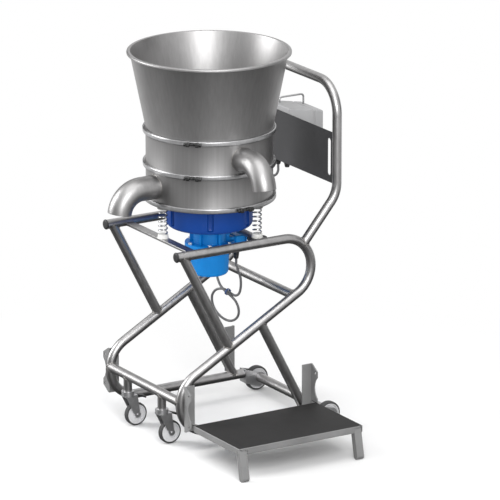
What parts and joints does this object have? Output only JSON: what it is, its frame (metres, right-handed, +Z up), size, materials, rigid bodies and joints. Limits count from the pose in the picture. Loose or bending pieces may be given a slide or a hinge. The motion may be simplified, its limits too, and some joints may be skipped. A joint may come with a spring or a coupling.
{
  "type": "vibrating sieve",
  "caption": "Round vibrating sieve with a conical hopper on coil springs, on a wheeled bent-tube trolley with a push handle, control box and folding step.",
  "frame": {"origin": "on the floor, midway between the ends of the machine in plan", "axes": "+Z up; -Y the front, where the casters and the pan's outlet are; +Y the operator's side with the handle; +X the side that carries the step"},
  "size_m": [0.8328, 0.8488, 1.222],
  "materials": {
    "tube_steel": "polished",
    "sieve_steel": "satin",
    "clamp_steel": "satin",
    "zinc_plated": "satin",
    "spring_steel": "satin",
    "charcoal_plate": "satin",
    "navy_paint": "gloss",
    "azure_paint": "satin",
    "black_plastic": "matte",
    "grey_box": "matte",
    "red_plastic": "gloss",
    "green_plastic": "gloss",
    "seal_rubber": "matte",
    "wheel_rubber": "matte",
    "cable_rubber": "matte",
    "screen_mesh": "satin",
    "step_grey": "satin"
  },
  "bodies": {
    "trolley": {"box_gland": "black_plastic", "cable_tie": "black_plastic", "control_box": "grey_box", "end_cap_left": "black_plastic", "end_cap_right": "black_plastic", "front_lower_crossbar": "tube_steel", "front_spring_bar": "charcoal_plate", "front_strut_left": "tube_steel", "front_strut_right": "tube_steel", "motor_cable": "cable_rubber", "panel_plate": "charcoal_plate", "push_handle": "tube_steel", "rear_axle_crossbar": "tube_steel", "rear_fork_left": "zinc_plated", "rear_fork_right": "zinc_plated", "rear_spring_bar": "charcoal_plate", "rear_strut_left": "tube_steel", "rear_strut_right": "tube_steel", "rear_upper_crossbar": "tube_steel", "side_frame_left": "tube_steel", "side_frame_right": "tube_steel", "spring_front": "spring_steel", "spring_rear_left": "spring_steel", "spring_rear_right": "spring_steel", "step_bracket_front_left": "zinc_plated", "step_bracket_front_right": "zinc_plated", "step_bracket_rear_left": "zinc_plated", "step_bracket_rear_right": "zinc_plated"},
    "sieving_head": {"collecting_pan": "sieve_steel", "sieve_deck": "sieve_steel", "hopper": "sieve_steel", "base_plate": "sieve_steel", "base_gasket": "seal_rubber", "screen_gasket": "seal_rubber", "hopper_gasket": "seal_rubber", "sieve_screen": "screen_mesh", "clamp_ring_lower": "clamp_steel", "clamp_ring_middle": "clamp_steel", "clamp_ring_upper": "clamp_steel", "vibrator_drum": "navy_paint", "motor": "azure_paint", "terminal_box": "azure_paint", "motor_gland": "black_plastic"},
    "rotor": {"rotor_shaft": "spring_steel", "upper_weight": "zinc_plated", "lower_weight": "zinc_plated"},
    "caster_left": {"caster_fork_left": "zinc_plated"},
    "caster_right": {"caster_fork_right": "zinc_plated"},
    "front_wheel_left": {"caster_wheel_left": "wheel_rubber"},
    "front_wheel_right": {"caster_wheel_right": "wheel_rubber"},
    "pedal_left": {"brake_pedal_left": "black_plastic"},
    "pedal_right": {"brake_pedal_right": "black_plastic"},
    "wheel_left": {"rear_wheel_left": "wheel_rubber"},
    "wheel_right": {"rear_wheel_right": "wheel_rubber"},
    "step": {"step_platform": "charcoal_plate"},
    "leg_front": {"step_leg_front": "step_grey"},
    "leg_rear": {"step_leg_rear": "step_grey"},
    "start": {"start_button": "green_plastic"},
    "stop": {"stop_button": "red_plastic"},
    "switch": {"main_switch": "black_plastic"}
  },
  "joints": [
    {"name": "head_bounce", "type": "slide", "parent": "trolley", "child": "sieving_head", "axis": [0, 0, 1], "range_m": [-0.006, 0.004], "stiffness_N_per_m": 36400, "springref_m": 0.01553, "deforming": ["spring_front", "spring_rear_left", "spring_rear_right"]},
    {"name": "rotor_spin", "type": "hinge", "parent": "sieving_head", "child": "rotor", "pos_m": [-0.14456, -0.06043, 0.7], "axis": [0, 0, 1], "continuous": true},
    {"name": "step_fold", "type": "hinge", "parent": "trolley", "child": "step", "pos_m": [0.11524, -0.06043, 0.101], "axis": [0, -1, 0], "range_deg": [0, 90]},
    {"name": "caster_swivel_left", "type": "hinge", "parent": "trolley", "child": "caster_left", "pos_m": [-0.25031, -0.30043, 0.11], "axis": [0, 0, 1], "continuous": true},
    {"name": "front_wheel_spin_left", "type": "hinge", "parent": "caster_left", "child": "front_wheel_left", "pos_m": [-0.25031, -0.27243, 0.0375], "axis": [1, 0, 0], "continuous": true},
    {"name": "brake_pedal_press_left", "type": "hinge", "parent": "caster_left", "child": "pedal_left", "pos_m": [-0.25031, -0.27033, 0.1015], "axis": [-1, 0, 0], "range_deg": [0, 20], "stiffness_Nm_per_rad": 1.5, "springref_deg": -2.86},
    {"name": "rear_wheel_spin_left", "type": "hinge", "parent": "trolley", "child": "wheel_left", "pos_m": [-0.36206, 0.24557, 0.04], "axis": [1, 0, 0], "continuous": true},
    {"name": "caster_swivel_right", "type": "hinge", "parent": "trolley", "child": "caster_right", "pos_m": [-0.03881, -0.30043, 0.11], "axis": [0, 0, 1], "continuous": true},
    {"name": "front_wheel_spin_right", "type": "hinge", "parent": "caster_right", "child": "front_wheel_right", "pos_m": [-0.03881, -0.27243, 0.0375], "axis": [1, 0, 0], "continuous": true},
    {"name": "brake_pedal_press_right", "type": "hinge", "parent": "caster_right", "child": "pedal_right", "pos_m": [-0.03881, -0.27033, 0.1015], "axis": [-1, 0, 0], "range_deg": [0, 20], "stiffness_Nm_per_rad": 1.5, "springref_deg": -2.86},
    {"name": "rear_wheel_spin_right", "type": "hinge", "parent": "trolley", "child": "wheel_right", "pos_m": [0.07294, 0.24557, 0.04], "axis": [1, 0, 0], "continuous": true},
    {"name": "step_leg_fold_front", "type": "hinge", "parent": "step", "child": "leg_front", "pos_m": [0.38874, -0.27993, 0.0919], "axis": [0, 1, 0], "range_deg": [0, 102]},
    {"name": "step_leg_fold_rear", "type": "hinge", "parent": "step", "child": "leg_rear", "pos_m": [0.38874, 0.15907, 0.0919], "axis": [0, 1, 0], "range_deg": [0, 102]},
    {"name": "start_press", "type": "slide", "parent": "trolley", "child": "start", "axis": [0, -1, 0], "range_m": [0, 0.004], "stiffness_N_per_m": 400, "springref_m": -0.002},
    {"name": "stop_press", "type": "slide", "parent": "trolley", "child": "stop", "axis": [0, -1, 0], "range_m": [0, 0.004], "stiffness_N_per_m": 400, "springref_m": -0.002},
    {"name": "main_switch_turn", "type": "hinge", "parent": "trolley", "child": "switch", "pos_m": [-0.27656, 0.40937, 0.912], "axis": [0, 1, 0], "range_deg": [0, 90]}
  ]
}
